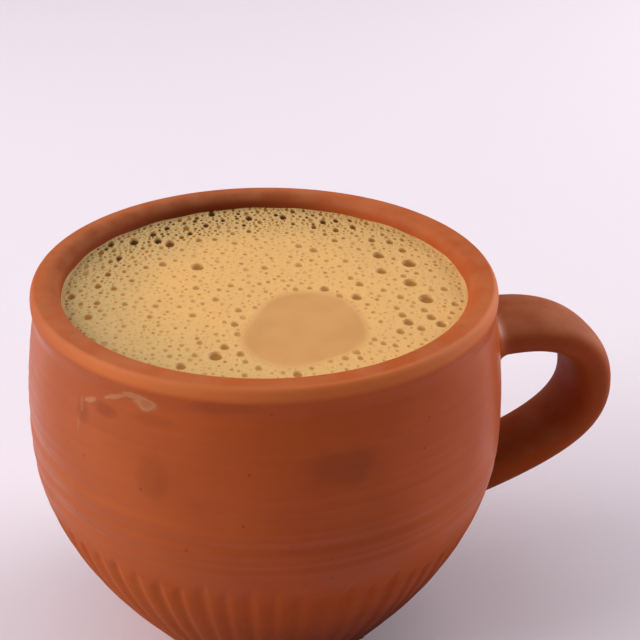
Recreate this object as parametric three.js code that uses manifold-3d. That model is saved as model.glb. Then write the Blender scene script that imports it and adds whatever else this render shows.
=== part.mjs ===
// A terracotta tea cup with an ear-shaped handle, filled with milky spiced tea under a froth.
// Millimetres, +Z up. The origin is the middle of the foot, and the handle points along +X.

import * as THREE from 'three';
import { mergeVertices } from 'three/addons/utils/BufferGeometryUtils.js';
import Module from 'manifold-3d';

// Bowl
const CUP_HEIGHT = 75;
const FOOT_RADIUS = 24.8;
const FOOT_BEVEL = 0.7;
const BELLY_RADIUS = 45.9;
const BELLY_HEIGHT = 45;
const SWELL_UPPER = 1.93;
const SWELL_LOWER = 1.11;
const NECK_RADIUS = 43.45;
const NECK_HEIGHT = 69.5;
const LIP_RADIUS = 43.7;
const LIP_HEIGHT = 72.6;
const LIP_OUTER_ROUND = 1.2;
const LIP_INNER_ROUND = 2.3;
const MOUTH_RADIUS = 38.1;
const MOUTH_DEPTH = 12;
const WALL = 5.8;
const FLOOR = 7;
const INNER_FOOT_HEIGHT = 10.5;
const INNER_FOOT_ROUND = 4;

// Scooped flutes round the lower bowl, each one deepest on its anticlockwise side
const FLUTE_COUNT = 64;
const FLUTE_TURN = THREE.MathUtils.degToRad(1.47);
const FLUTE_DEPTH = 0.5;
const FLUTE_LEAN = 1.7;
const FLUTE_TOP = 38;
const FLUTE_FADE = 5;

// Points in a ring of the fluted wall and in one of the plain wall
const FINE_SIDES = 3 * FLUTE_COUNT;
const COARSE_SIDES = FINE_SIDES / 2;

// Handle: a flat strap with a rounded section, narrower at its lower end
const HANDLE_REACH = 68.6;
const HANDLE_REACH_HEIGHT = 43.2;
const HANDLE_TOP_HEIGHT = 57.3;
const HANDLE_TOP_RISE = THREE.MathUtils.degToRad(7);
const HANDLE_TOP_PULL = 16;
const HANDLE_BOTTOM_HEIGHT = 21.8;
const HANDLE_BOTTOM_RISE = THREE.MathUtils.degToRad(19);
const HANDLE_BOTTOM_PULL = 19;
const HANDLE_UPPER_ROUND = 11;
const HANDLE_LOWER_ROUND = 10.5;
const HANDLE_THICKNESS = 8.1;
const HANDLE_TOP_WIDTH = 18.6;
const HANDLE_BOTTOM_WIDTH = 15;
const HANDLE_SQUARENESS = 2.45;
const HANDLE_FILLET = 2.6;
const HANDLE_GRIP = 2.5 * HANDLE_FILLET;
const HANDLE_SUNK = 2.2;
const HANDLE_STEPS = 34;
const HANDLE_SIDES = 20;

// Tea and its froth
const FROTH_TOP = 72.2;
const FROTH_BOTTOM = 70.9;
const TEA_FIT = 0.3;
const PATCH = { x: 3, y: -17.9, halfWidth: 9.9, halfDepth: 13.1, turn: -0.35 };
const PATCH_DIP = 0.45;
const PATCH_WOBBLE = [0.05, 0.03];
const PATCH_WOBBLE_TURN = 0.6;
const FROTH_SIDES = 72;
const TEA_SIDES = FROTH_SIDES / 2;
const BUBBLE_COUNT = 48;
const BUBBLE_RADII = [0.75, 1.4];
const BUBBLE_SQUASH = 0.6;
const BUBBLE_LIFT = 0.15;
const BUBBLE_GAP = 0.6;
const BUBBLE_WALL_GAP = 3;
const BUBBLE_PATCH_GAP = 1.25;
const BUBBLE_SIDES = 8;
const BUBBLE_SEED = 11;

// Detail finer than this is dropped where pieces are joined or cut
const SHORTEST_EDGE = 0.05;

const CLAY = { color: 0xa5532f, roughness: 0.72, metalness: 0 };
const TEA = { color: 0xcb9660, roughness: 0.25, metalness: 0 };
const FROTH = { color: 0xe2b478, roughness: 0.55, metalness: 0 };

function smoothstep(t) {
  const s = THREE.MathUtils.clamp(t, 0, 1);
  return s * s * (3 - 2 * s);
}

// Outer radius of the bowl at a height, without the flutes.
function bowlRadius(height) {
  if (height <= BELLY_HEIGHT) {
    const t = height / BELLY_HEIGHT;
    const swell = Math.pow(1 - Math.pow(1 - t, SWELL_UPPER), SWELL_LOWER);
    return FOOT_RADIUS + (BELLY_RADIUS - FOOT_RADIUS) * swell;
  }
  if (height <= NECK_HEIGHT) {
    const t = (height - BELLY_HEIGHT) / (NECK_HEIGHT - BELLY_HEIGHT);
    return BELLY_RADIUS - (BELLY_RADIUS - NECK_RADIUS) * t * t;
  }
  const t = Math.min((height - NECK_HEIGHT) / (LIP_HEIGHT - NECK_HEIGHT), 1);
  return NECK_RADIUS + (LIP_RADIUS - NECK_RADIUS) * smoothstep(t);
}

// How far a flute is scooped into the wall. It rises to a ridge on each side and fades at its top.
function fluteDepth(angle, height) {
  const turns = ((angle - FLUTE_TURN) * FLUTE_COUNT) / (2 * Math.PI);
  const across = turns - Math.floor(turns + 1e-6);
  const hollow = Math.sin(Math.PI * Math.pow(Math.max(across, 0), FLUTE_LEAN));
  const up = smoothstep((FLUTE_TOP - height) / FLUTE_FADE);
  return FLUTE_DEPTH * hollow * up;
}

// One ring of points at a height, from a radius that may depend on the angle.
function ring(sides, height, radiusAt, turn = 0) {
  const points = [];
  for (let i = 0; i < sides; i++) {
    const angle = turn + (2 * Math.PI * i) / sides;
    const radius = radiusAt(angle);
    points.push([radius * Math.cos(angle), radius * Math.sin(angle), height]);
  }
  return points;
}

// Stacks rings into one closed skin. A ring may have half or twice as many points as the one before.
function skin(rings, firstCentre, lastCentre) {
  const vertices = [];
  const faces = [];
  const starts = rings.map((points) => {
    const start = vertices.length;
    vertices.push(...points);
    return start;
  });
  for (let k = 0; k + 1 < rings.length; k++) {
    const low = rings[k].length;
    const high = rings[k + 1].length;
    const cells = Math.min(low, high);
    for (let i = 0; i < cells; i++) {
      const a = (j) => starts[k] + (j % low);
      const b = (j) => starts[k + 1] + (j % high);
      if (low === high) {
        faces.push([a(i), a(i + 1), b(i + 1)], [a(i), b(i + 1), b(i)]);
      } else if (low > high) {
        faces.push([a(2 * i), a(2 * i + 1), b(i)]);
        faces.push([a(2 * i + 1), b(i + 1), b(i)]);
        faces.push([a(2 * i + 1), a(2 * i + 2), b(i + 1)]);
      } else {
        faces.push([a(i), b(2 * i + 1), b(2 * i)]);
        faces.push([a(i), a(i + 1), b(2 * i + 1)]);
        faces.push([a(i + 1), b(2 * i + 2), b(2 * i + 1)]);
      }
    }
  }
  const first = vertices.push(firstCentre) - 1;
  const last = vertices.push(lastCentre) - 1;
  const lowEnd = rings[0].length;
  const highEnd = rings[rings.length - 1].length;
  const highStart = starts[starts.length - 1];
  for (let i = 0; i < lowEnd; i++) {
    faces.push([first, (i + 1) % lowEnd, i]);
  }
  for (let i = 0; i < highEnd; i++) {
    faces.push([last, highStart + i, highStart + ((i + 1) % highEnd)]);
  }
  return meshOf(vertices, faces);
}

function meshOf(vertices, faces) {
  const geometry = new THREE.BufferGeometry();
  geometry.setAttribute('position', new THREE.Float32BufferAttribute(vertices.flat(), 3));
  geometry.setIndex(faces.flat());
  return geometry;
}

function bowlGeometry() {
  const rings = [];
  const addRing = (sides, height, radiusAt) => rings.push(ring(sides, height, radiusAt, FLUTE_TURN));
  addRing(FINE_SIDES, 0, () => FOOT_RADIUS - FOOT_BEVEL);
  for (const height of [FOOT_BEVEL, 6, 12, 18, 24, 29.5, 34, 37]) {
    addRing(FINE_SIDES, height, (angle) => bowlRadius(height) - fluteDepth(angle, height));
  }
  for (const height of [40, 45, 51, 57, 63, 67, NECK_HEIGHT, 71.2, LIP_HEIGHT]) {
    addRing(COARSE_SIDES, height, () => bowlRadius(height));
  }
  const outerCentre = LIP_RADIUS - LIP_OUTER_ROUND;
  for (const turn of [35, 65, 90].map(THREE.MathUtils.degToRad)) {
    const height = CUP_HEIGHT + (CUP_HEIGHT - LIP_HEIGHT) * (Math.sin(turn) - 1);
    addRing(COARSE_SIDES, height, () => outerCentre + LIP_OUTER_ROUND * Math.cos(turn));
  }
  for (const turn of [0, 30, 60, 90].map(THREE.MathUtils.degToRad)) {
    const height = CUP_HEIGHT + LIP_INNER_ROUND * (Math.cos(turn) - 1);
    const reach = LIP_INNER_ROUND * (1 - Math.sin(turn));
    addRing(COARSE_SIDES, height, () => MOUTH_RADIUS + reach);
  }
  for (const height of [64, 52, 40, 28, 17, INNER_FOOT_HEIGHT]) {
    addRing(COARSE_SIDES, height, () => innerRadius(height));
  }
  addRing(COARSE_SIDES, FLOOR + 1, () => innerRadius(INNER_FOOT_HEIGHT) - INNER_FOOT_ROUND);
  return skin(rings, [0, 0, 0], [0, 0, FLOOR]);
}

// Inner radius of the bowl below its mouth.
function innerRadius(height) {
  const blend = smoothstep((CUP_HEIGHT - LIP_INNER_ROUND - height) / MOUTH_DEPTH);
  return THREE.MathUtils.lerp(MOUTH_RADIUS, bowlRadius(height) - WALL, blend);
}

// The strap's middle line in its own plane: x is the distance from the cup's axis, y the height.
function handleRoute() {
  const topRoot = new THREE.Vector2(
    bowlRadius(HANDLE_TOP_HEIGHT) - HANDLE_SUNK,
    HANDLE_TOP_HEIGHT,
  );
  const bottomRoot = new THREE.Vector2(
    bowlRadius(HANDLE_BOTTOM_HEIGHT) - HANDLE_SUNK,
    HANDLE_BOTTOM_HEIGHT,
  );
  const reach = new THREE.Vector2(HANDLE_REACH, HANDLE_REACH_HEIGHT);
  const upper = new THREE.CubicBezierCurve(
    topRoot,
    heading(topRoot, HANDLE_TOP_RISE, HANDLE_TOP_PULL),
    new THREE.Vector2(HANDLE_REACH, HANDLE_REACH_HEIGHT + HANDLE_UPPER_ROUND),
    reach,
  );
  const lower = new THREE.CubicBezierCurve(
    reach,
    new THREE.Vector2(HANDLE_REACH, HANDLE_REACH_HEIGHT - HANDLE_LOWER_ROUND),
    heading(bottomRoot, HANDLE_BOTTOM_RISE, HANDLE_BOTTOM_PULL),
    bottomRoot,
  );
  const route = new THREE.CurvePath();
  route.add(upper);
  route.add(lower);
  return route;
}

function heading(from, rise, distance) {
  return new THREE.Vector2(
    from.x + distance * Math.cos(rise),
    from.y + distance * Math.sin(rise),
  );
}

// Direction along the bowl's outer wall, upwards, in the handle's plane.
function wallDirection(height) {
  const step = 0.5;
  return new THREE.Vector2(bowlRadius(height + step) - bowlRadius(height - step), 2 * step).normalize();
}

// How much the strap swells where it runs into the wall: a quarter circle in profile.
function filletSwell(distance) {
  const s = THREE.MathUtils.clamp(distance, 0, HANDLE_FILLET);
  return HANDLE_FILLET - Math.sqrt(HANDLE_FILLET ** 2 - (HANDLE_FILLET - s) ** 2);
}

// The strap as a stack of rounded sections. Near each root a section turns and bends to follow the
// wall, so that the end is buried in the clay to an even depth.
function handleGeometry() {
  const route = handleRoute();
  const length = route.getLength();
  const rings = [];
  for (let i = 0; i <= HANDLE_STEPS; i++) {
    const share = i / HANDLE_STEPS;
    const middle = route.getPointAt(share);
    const along = route.getTangentAt(share);
    const square = new THREE.Vector2(-along.y, along.x);
    const fromTop = share * length;
    const fromBottom = length - fromTop;
    const fromRoot = Math.min(fromTop, fromBottom);
    const wall = wallDirection(fromTop < fromBottom ? HANDLE_TOP_HEIGHT : HANDLE_BOTTOM_HEIGHT);
    const clear = fromRoot - HANDLE_SUNK;
    const grip = 1 - smoothstep(clear / HANDLE_GRIP);
    if (wall.dot(square) < 0) {
      wall.negate();
    }
    const across = square.clone().lerp(wall, grip).normalize();
    const swell = filletSwell(clear);
    const halfThickness = (HANDLE_THICKNESS / 2 + swell) / across.dot(square);
    const width = THREE.MathUtils.lerp(HANDLE_TOP_WIDTH, HANDLE_BOTTOM_WIDTH, share);
    const halfWidth = width / 2 + swell;
    const points = [];
    for (let j = 0; j < HANDLE_SIDES; j++) {
      const angle = (2 * Math.PI * j) / HANDLE_SIDES;
      const thick = halfThickness * rounded(Math.cos(angle));
      const side = -halfWidth * rounded(Math.sin(angle));
      const height = middle.y + across.y * thick;
      const free = middle.x + across.x * thick;
      const onWall = Math.sqrt(bowlRadius(height) ** 2 - side ** 2) + clear * Math.abs(along.x);
      points.push([THREE.MathUtils.lerp(free, onWall, grip), side, height]);
    }
    rings.push(points);
  }
  return skin(rings, sectionCentre(rings[0]), sectionCentre(rings[rings.length - 1]));
}

function sectionCentre(points) {
  const opposite = points[HANDLE_SIDES / 2];
  return [(points[0][0] + opposite[0]) / 2, 0, (points[0][2] + opposite[2]) / 2];
}

function rounded(value) {
  return Math.sign(value) * Math.abs(value) ** (2 / HANDLE_SQUARENESS);
}

// Edge of the bare patch in the froth, a soft egg shape, as a ring of points at a height.
function patchRing(height, grow) {
  const points = [];
  for (let i = 0; i < FROTH_SIDES; i++) {
    const angle = (2 * Math.PI * i) / FROTH_SIDES;
    const wobble = 1 + PATCH_WOBBLE[0] * Math.cos(3 * angle + PATCH_WOBBLE_TURN)
      + PATCH_WOBBLE[1] * Math.sin(2 * angle);
    const x = (PATCH.halfWidth * wobble + grow) * Math.cos(angle);
    const y = (PATCH.halfDepth * wobble + grow) * Math.sin(angle);
    points.push([
      PATCH.x + x * Math.cos(PATCH.turn) - y * Math.sin(PATCH.turn),
      PATCH.y + x * Math.sin(PATCH.turn) + y * Math.cos(PATCH.turn),
      height,
    ]);
  }
  return points;
}

function teaGeometry() {
  const rings = [];
  const top = FROTH_BOTTOM - TEA_FIT;
  const footRadius = innerRadius(INNER_FOOT_HEIGHT) - INNER_FOOT_ROUND - TEA_FIT;
  rings.push(ring(TEA_SIDES, FLOOR + 1 + TEA_FIT, () => footRadius));
  for (const height of [INNER_FOOT_HEIGHT, 17, 28, 40, 52, 64, top]) {
    rings.push(ring(TEA_SIDES, height, () => innerRadius(height) - 2 * TEA_FIT));
  }
  const patchTop = FROTH_TOP - PATCH_DIP;
  rings.push(patchRing(top, -TEA_FIT));
  rings.push(patchRing(patchTop, -TEA_FIT));
  return skin(rings, [0, 0, FLOOR + 1 + TEA_FIT], [PATCH.x, PATCH.y, patchTop]);
}

// A small repeatable source of numbers between 0 and 1.
function numberSource(seed) {
  let state = seed;
  return () => {
    state = (state * 16807) % 2147483647;
    return state / 2147483647;
  };
}

// Froth: a thin layer from the wall to the edge of the patch, closed by one inner and one outer wall.
function frothGeometry() {
  const outer = MOUTH_RADIUS - TEA_FIT;
  const rows = [0, 0.5, 1];
  const rings = [];
  const between = (height, share) => {
    const edge = patchRing(height, 0);
    const wall = ring(FROTH_SIDES, height, () => outer);
    return edge.map((point, i) => point.map((value, k) => THREE.MathUtils.lerp(value, wall[i][k], share)));
  };
  for (const share of rows) {
    rings.push(between(FROTH_TOP, share).reverse());
  }
  for (const share of rows.slice().reverse()) {
    rings.push(between(FROTH_BOTTOM, share).reverse());
  }
  const vertices = rings.flat();
  const faces = [];
  for (let k = 0; k < rings.length; k++) {
    const next = (k + 1) % rings.length;
    for (let i = 0; i < FROTH_SIDES; i++) {
      const j = (i + 1) % FROTH_SIDES;
      const a = k * FROTH_SIDES;
      const b = next * FROTH_SIDES;
      faces.push([a + i, a + j, b + j], [a + i, b + j, b + i]);
    }
  }
  return meshOf(vertices, faces);
}

// Open bubbles: shallow round dimples in the froth, more of them away from the patch.
function bubbleGeometries() {
  const draw = numberSource(BUBBLE_SEED);
  const placed = [];
  while (placed.length < BUBBLE_COUNT) {
    const angle = 2 * Math.PI * draw();
    const distance = (MOUTH_RADIUS - BUBBLE_WALL_GAP) * Math.sqrt(draw());
    const radius = THREE.MathUtils.lerp(BUBBLE_RADII[0], BUBBLE_RADII[1], draw() ** 2);
    const x = distance * Math.cos(angle);
    const y = distance * Math.sin(angle);
    const fromPatch = Math.hypot((x - PATCH.x) / PATCH.halfWidth, (y - PATCH.y) / PATCH.halfDepth);
    const clearOfPatch = fromPatch > BUBBLE_PATCH_GAP;
    const clearOfOthers = placed.every(
      (other) => Math.hypot(other.x - x, other.y - y) > other.radius + radius + BUBBLE_GAP,
    );
    if (clearOfPatch && clearOfOthers) {
      placed.push({ x, y, radius });
    }
  }
  return placed.map(({ x, y, radius }) => {
    const bubble = new THREE.SphereGeometry(radius, BUBBLE_SIDES, BUBBLE_SIDES / 2);
    bubble.rotateX(Math.PI / 2);
    bubble.scale(1, 1, BUBBLE_SQUASH);
    bubble.translate(x, y, FROTH_TOP + BUBBLE_LIFT * radius);
    return bubble;
  });
}

const wasm = await Module();
wasm.setup();

function toSolid(geometry) {
  const bare = geometry.clone();
  bare.deleteAttribute('normal');
  bare.deleteAttribute('uv');
  const merged = mergeVertices(bare, 1e-4);
  return new wasm.Manifold(new wasm.Mesh({
    numProp: 3,
    vertProperties: new Float32Array(merged.attributes.position.array),
    triVerts: new Uint32Array(merged.index.array),
  }));
}

function toGeometry(solid) {
  const mesh = solid.getMesh();
  const geometry = new THREE.BufferGeometry();
  geometry.setAttribute('position', new THREE.BufferAttribute(mesh.vertProperties, 3));
  geometry.setIndex(new THREE.BufferAttribute(mesh.triVerts, 1));
  geometry.computeVertexNormals();
  return geometry;
}

function part(name, geometry, finish) {
  const mesh = new THREE.Mesh(geometry, new THREE.MeshStandardMaterial(finish));
  mesh.name = name;
  return mesh;
}

function makeCup() {
  const solid = toSolid(bowlGeometry()).add(toSolid(handleGeometry()));
  return part('cup', toGeometry(solid.simplify(SHORTEST_EDGE)), CLAY);
}

function makeTea() {
  return part('tea', teaGeometry(), TEA);
}

function makeFroth() {
  let solid = toSolid(frothGeometry());
  for (const bubble of bubbleGeometries()) {
    solid = solid.subtract(toSolid(bubble));
  }
  return part('froth', toGeometry(solid.simplify(SHORTEST_EDGE)), FROTH);
}

const drink = new THREE.Group();
drink.add(makeCup(), makeTea(), makeFroth());

export default drink;
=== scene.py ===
"""Masala chai in a terracotta cup: burnished clay, milky tea, bubbly froth and a plain studio."""

import functools
import math
import random

import bpy
import numpy as np
from bpy.props import FloatProperty, FloatVectorProperty, IntProperty, PointerProperty
from mathutils import Matrix, Vector


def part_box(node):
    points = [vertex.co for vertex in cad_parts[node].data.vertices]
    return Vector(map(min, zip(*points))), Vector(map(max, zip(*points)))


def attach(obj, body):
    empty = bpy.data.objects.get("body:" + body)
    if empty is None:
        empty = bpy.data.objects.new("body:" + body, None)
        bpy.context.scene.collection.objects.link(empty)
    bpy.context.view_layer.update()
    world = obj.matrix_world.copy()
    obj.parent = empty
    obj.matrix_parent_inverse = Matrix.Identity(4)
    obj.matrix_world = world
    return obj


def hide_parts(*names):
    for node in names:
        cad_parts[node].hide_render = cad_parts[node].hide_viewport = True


bl_info = {
    "name": "Clay Cup of Masala Chai",
    "version": (1, 0, 0),
    "blender": (4, 5, 0),
    "location": "3D View > Sidebar > Chai",
    "description": "Makes a terracotta cup of frothy masala chai round its fixed CAD frame",
    "category": "Add Mesh",
}

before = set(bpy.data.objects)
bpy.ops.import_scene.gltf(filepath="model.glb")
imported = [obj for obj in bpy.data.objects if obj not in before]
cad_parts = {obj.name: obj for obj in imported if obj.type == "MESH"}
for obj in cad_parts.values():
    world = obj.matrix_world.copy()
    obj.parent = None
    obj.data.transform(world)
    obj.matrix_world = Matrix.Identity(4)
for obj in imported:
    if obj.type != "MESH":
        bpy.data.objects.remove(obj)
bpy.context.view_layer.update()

MM = 0.001
BODY = "root"
CUP_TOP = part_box("cup")[1][2] / MM
FROTH_BOX = [[value / MM for value in corner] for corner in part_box("froth")]
FROTH_TOP = FROTH_BOX[1][2]
FROTH_BOTTOM = FROTH_BOX[0][2]

# Bowl. Lengths here and below are in mm.
SWELL_UPPER = 1.93
SWELL_LOWER = 1.11
LIP_DROP = 2.4
LIP_OUTER_ROUND = 1.2
LIP_INNER_ROUND = 2.3
MOUTH_DEPTH = 12
FOOT_ROUND = 0.9
CUP_FLOOR = 7
INNER_FOOT_HEIGHT = 10.5
INNER_FOOT_ROUND = 4
CUP_SIDES = 640
CUP_SEED = 21

# Flutes, each one deepest and highest beside the ridge on its right
FLUTE_TURN = math.radians(1.47)
FLUTE_TILT = math.radians(165)
FLUTE_TILT_RISE = 2.6
FLUTE_LEAN = 1.9
FLUTE_FADE = 2.6
FLUTE_START_DROP = 4.2

# Grooves round the belly: height, depth as a share, and half width. They are deepest on one side.
GROOVES = (
    (53.2, 0.25, 0.7), (51.4, 0.25, 0.6), (49.6, 0.9, 1.1), (47.3, 0.1, 0.5), (45.3, 1.1, 1.3),
    (42.5, 0.55, 0.8), (40.8, 0.8, 0.8), (57.8, 0.2, 0.8), (62.2, 0.15, 0.8),
)
GROOVED_SIDE = math.radians(-150)

# Handle: how its middle line leaves the wall and bends, how far it is sunk in, and its section
HANDLE_TOP_RISE = math.radians(7)
HANDLE_TOP_PULL = 16
HANDLE_BOTTOM_RISE = math.radians(19)
HANDLE_BOTTOM_PULL = 19
HANDLE_UPPER_ROUND = 11
HANDLE_LOWER_ROUND = 10.5
HANDLE_SUNK = 2.2
HANDLE_GRIP = 2.5
HANDLE_SQUARENESS = 2.45
HANDLE_STEPS = 150
HANDLE_SIDES = 72

# Tea and foam: the gap that stands for contact, how far the foam's sheet runs into the wall, and how
# far the foam's mean level lies under its highest point
TEA_FIT = 0.3
TEA_SIDES = 192
FOAM_OVERLAP = 0.25
FOAM_DROP = 0.25

# Bubbles drawn at random: how many, smallest and largest radius, spacing, and crowding to the far wall
BUBBLE_KINDS = (
    (80, 0.5, 0.8, 1.6, 0.0),
    (430, 0.36, 0.6, 1.4, 0.1),
    (660, 0.26, 0.42, 1.45, 0.8),
    (1100, 0.15, 0.24, 1.45, 0.9),
)
BUBBLE_TRIES = 60

# Sides of the cup, as turns from the handle: where bubbles crowd and are darkest, partly as painted
# shade and painted reflection of the dark wall, the way they are drawn out, and where the foam is
# coarse and painted darker as shade
FAR_SIDE = math.radians(99)
STRETCH_SIDE = math.radians(78)
DRY_AND_SHADED_SIDE = math.radians(140)

# The largest bubbles, where the photograph shows them: pixel across, pixel down, width in pixels
LARGE_BUBBLES = (
    (379, 254, 12), (410, 262, 14), (411, 282, 14), (427, 298, 15), (372, 239, 7), (403, 249, 8),
    (382, 270, 11), (409, 321, 11), (442, 323, 11), (357, 296, 11), (360, 283, 9), (325, 288, 10),
    (335, 239, 7), (353, 226, 6), (390, 241, 7), (432, 316, 10), (445, 288, 8), (394, 257, 5),
    (198, 266, 13), (216, 355, 14), (134, 241, 8), (170, 243, 9), (163, 263, 9), (265, 267, 8),
    (299, 245, 8), (314, 249, 9), (283, 216, 6), (323, 221, 6), (336, 229, 6), (249, 217, 6),
    (241, 353, 9), (298, 373, 10), (259, 367, 8), (357, 351, 9), (346, 357, 8), (235, 323, 9),
    (98, 285, 7), (97, 302, 7), (150, 316, 7), (181, 365, 11), (193, 314, 8), (231, 284, 7),
    (167, 227, 5), (158, 240, 7), (195, 220, 4), (206, 224, 5), (223, 219, 4), (190, 232, 5),
    (215, 238, 6), (119, 257, 6), (106, 248, 4), (108, 273, 6), (235, 242, 7), (249, 230, 5),
    (257, 238, 5), (146, 266, 6), (132, 279, 6), (114, 287, 7), (125, 303, 7), (156, 305, 7),
    (88, 316, 9), (71, 296, 8), (216, 298, 8), (239, 309, 8), (238, 333, 8), (200, 342, 7),
    (225, 346, 10), (276, 214, 4), (314, 226, 5), (336, 220, 5), (417, 272, 6), (404, 275, 7),
    (456, 303, 8), (425, 309, 8), (401, 330, 9), (422, 327, 9), (403, 314, 9), (397, 307, 7),
    (340, 295, 8), (310, 287, 6), (296, 288, 7), (351, 277, 7), (346, 260, 7), (299, 264, 8),
    (384, 289, 7), (401, 296, 8), (361, 357, 7), (331, 360, 6), (396, 344, 7), (375, 338, 7),
    (384, 342, 7), (312, 367, 6), (244, 224, 4), (431, 269, 5), (195, 354, 7), (245, 374, 7),
)

# The foam's points are sorted into square bins, so that each bubble looks at those near it alone
BIN_SIZE = 3.2
BIN_START = 60
BIN_ROWS = 100

# Photograph: pixels across, and the width in mm of the sensor that the focal length goes with
PHOTO_SIZE = 640
SENSOR = 36

# Marks on the bowl: angle from the handle in degrees, height, half width and half height. A damp mark
# goes on with its strength. A pale mark goes on with its lean in degrees, its strength, and how much
# thinner its middle is than its rim. A mark reaches 4 mm into the wall, so that it can't show inside.
DAMP_MARKS = (
    (-128, 57.4, 3.1, 4.6, 0.2), (-86.7, 59.7, 6.2, 3.7, 0.3), (-140.5, 66.4, 2.6, 1.2, 0.3),
    (-147.5, 64.5, 1.6, 2.2, 0.25), (-128, 67.2, 4.5, 1.2, 0.15), (-112, 71.5, 6, 1.2, 0.2),
)
PALE_MARKS = (
    (-129.9, 69.8, 2.5, 1.3, 0, 0.6, 0.3), (-133.4, 70.8, 2.0, 0.6, 5, 0.5, 0.1),
    (-137.6, 69.6, 3.3, 0.42, 22, 0.4, 0), (-145.4, 67.0, 1.6, 0.5, 22, 0.42, 0),
    (-148.0, 65.4, 0.4, 1.6, 0, 0.18, 0), (-149.0, 61.5, 0.35, 1.8, 0, 0.14, 0),
)
MARK_REACH = 4

# Sides of the cup: where painted shade darkens the bowl low down, away from the key light, where
# painted shade darkens the far inner lip, and where the handle is
SHADED_SIDE = math.radians(-35)
FAR_LIP_SIDE = math.radians(118)
HANDLE_SIDE = 0

# Patterns: how far apart their lumps lie. The clay's grain and the foam's smallest cells are finer in
# truth, and are drawn as coarse as they need to show.
CLOUD_SPACING = 26
SMUDGE_SPACING = 14
SHEEN_SPACING = 5
STREAK_SPACING = 1.3
STREAK_LENGTH = 22
GROG_SPACING = 5.5
GRAIN_SPACING = 0.5
CELL_SPACING = 0.62
DRIFT_SPACING = 9

# Shares of the painted shade on the handle, of painted sheen on the lit side, and of painted shade
# inside the far lip or painted sheen inside the lip by the handle
HANDLE_SHADE = 0.28
LIT_SIDE_SHEEN = 0.15
INSIDE_SHADE_AND_SHEEN = 0.65

# Gloss: refractive index, share of the usual gleam, and roughness
CLAY_IOR = 1.5
CLAY_GLEAM = 0.17
CLAY_ROUGHNESS = (0.32, 0.46)
FLUTE_ROUGHNESS = 0.9
FAR_LIP_ROUGHNESS = 0.85
HANDLE_ROUGHNESS = 0.66
LIP_ROUGHNESS = 0.6
WATER_IOR = 1.34
LIQUID_GLEAM = 0.22
TEA_ROUGHNESS = 0.24
FOAM_ROUGHNESS = 0.5
PAPER_ROUGHNESS = 0.9

# Soft boxes: name, place, target and size in metres, and power in watts
LAMPS = (
    ("top_light", (0.0, 0.5, 1.3), (0, 0.4, 0), (1.8, 1.6), 8.2),
    ("key_light", (-0.95, 0.1, 0.6), (0, 0, 0.05), (1.0, 0.8), 13.5),
    ("fill_light", (0.95, 0.2, 0.45), (0, 0, 0.05), (0.8, 0.7), 9.5),
)
ROOM_LIGHT = 0.17


def linear(hex_colour):
    """A hex sRGB colour such as "#a5532f" as linear red, green, blue."""
    values = [int(hex_colour[i:i + 2], 16) / 255 for i in (1, 3, 5)]
    return tuple(v / 12.92 if v <= 0.04045 else ((v + 0.055) / 1.055) ** 2.4 for v in values)


def colour_property(name, description, hex_colour):
    """A colour that the user can change, from its hex sRGB value."""
    return FloatVectorProperty(
        name=name, description=description, default=linear(hex_colour), subtype="COLOR", min=0, max=1
    )


def length_property(name, description, millimetres):
    """A length that the user can change."""
    return FloatProperty(name=name, description=description, default=millimetres * MM, unit="LENGTH")


def angle_property(name, description, radians):
    """An angle that the user can change."""
    return FloatProperty(name=name, description=description, default=radians, unit="ROTATION")


class CupSettings(bpy.types.PropertyGroup):
    """Sizes and colours of the clay cup. Heights are above the foot."""

    foot_radius: length_property("Foot radius", "Radius of the flat foot", 24.8)
    belly_radius: length_property("Belly radius", "Largest radius of the bowl", 45.9)
    belly_height: length_property("Belly height", "Height of the largest radius", 45)
    neck_radius: length_property("Neck radius", "Radius of the shallow groove under the lip", 43.45)
    neck_height: length_property("Neck height", "Height of the groove under the lip", 69.5)
    lip_radius: length_property("Lip radius", "Outer radius of the rolled lip", 43.7)
    mouth_radius: length_property("Mouth radius", "Inner radius at the top of the drink", 38.1)
    wall: length_property("Wall", "Thickness of the wall", 5.8)
    flute_count: IntProperty(name="Flutes", description="Scooped flutes round the bowl", default=64, min=3)
    flute_depth: length_property("Flute depth", "How deep each flute is scooped", 0.5)
    flute_top: length_property("Flute top", "Mean height where the flutes run out", 35.2)
    ring_depth: length_property("Ring depth", "Depth of the grooves that throwing left", 0.36)
    clay: colour_property("Clay", "Fired clay, lit", "#ad4c14")
    clay_dark: colour_property("Dark clay", "Clay in the duller clouds", "#9e4210")
    # Damp marks are real stains. This colour also paints shade low down away from the key light, on the
    # handle and inside the far lip
    clay_damp_and_shade: colour_property("Smoked clay", "Clay where it is smoked or damp", "#5b1d04")
    # Painted sheen: a paler tone laid on the lit side, on upward faces and inside the lip by the handle
    clay_sheen: colour_property("Worn clay", "Paler clay where lips and cloth rub it", "#b4764c")
    # Painted highlight along the lip's near outer edge
    clay_lip_highlight: colour_property("Lip edge", "Bright clay along the lip's outer edge", "#d2743a")
    scuff: colour_property("Scuff", "Pale rubbed mark on the shoulder", "#b98a62")
    grog: colour_property("Grog", "Rare dark specks of crushed brick in the clay", "#5a2a16")


class HandleSettings(bpy.types.PropertyGroup):
    """The ear-shaped strap handle. Its middle line lies in the XZ plane."""

    reach: length_property("Reach", "Furthest distance of the middle line from the axis", 68.54)
    reach_height: length_property("Reach height", "Height of the furthest point", 43.2)
    top_height: length_property("Top height", "Height of the upper root", 57.3)
    bottom_height: length_property("Bottom height", "Height of the lower root", 21.8)
    thickness: length_property("Thickness", "Thickness of the strap", 8.1)
    top_width: length_property("Top width", "Width of the strap at its upper root", 18.6)
    bottom_width: length_property("Bottom width", "Width of the strap at its lower root", 15)
    fillet: length_property("Fillet", "Radius of the clay smoothed round each root", 2.6)


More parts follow.
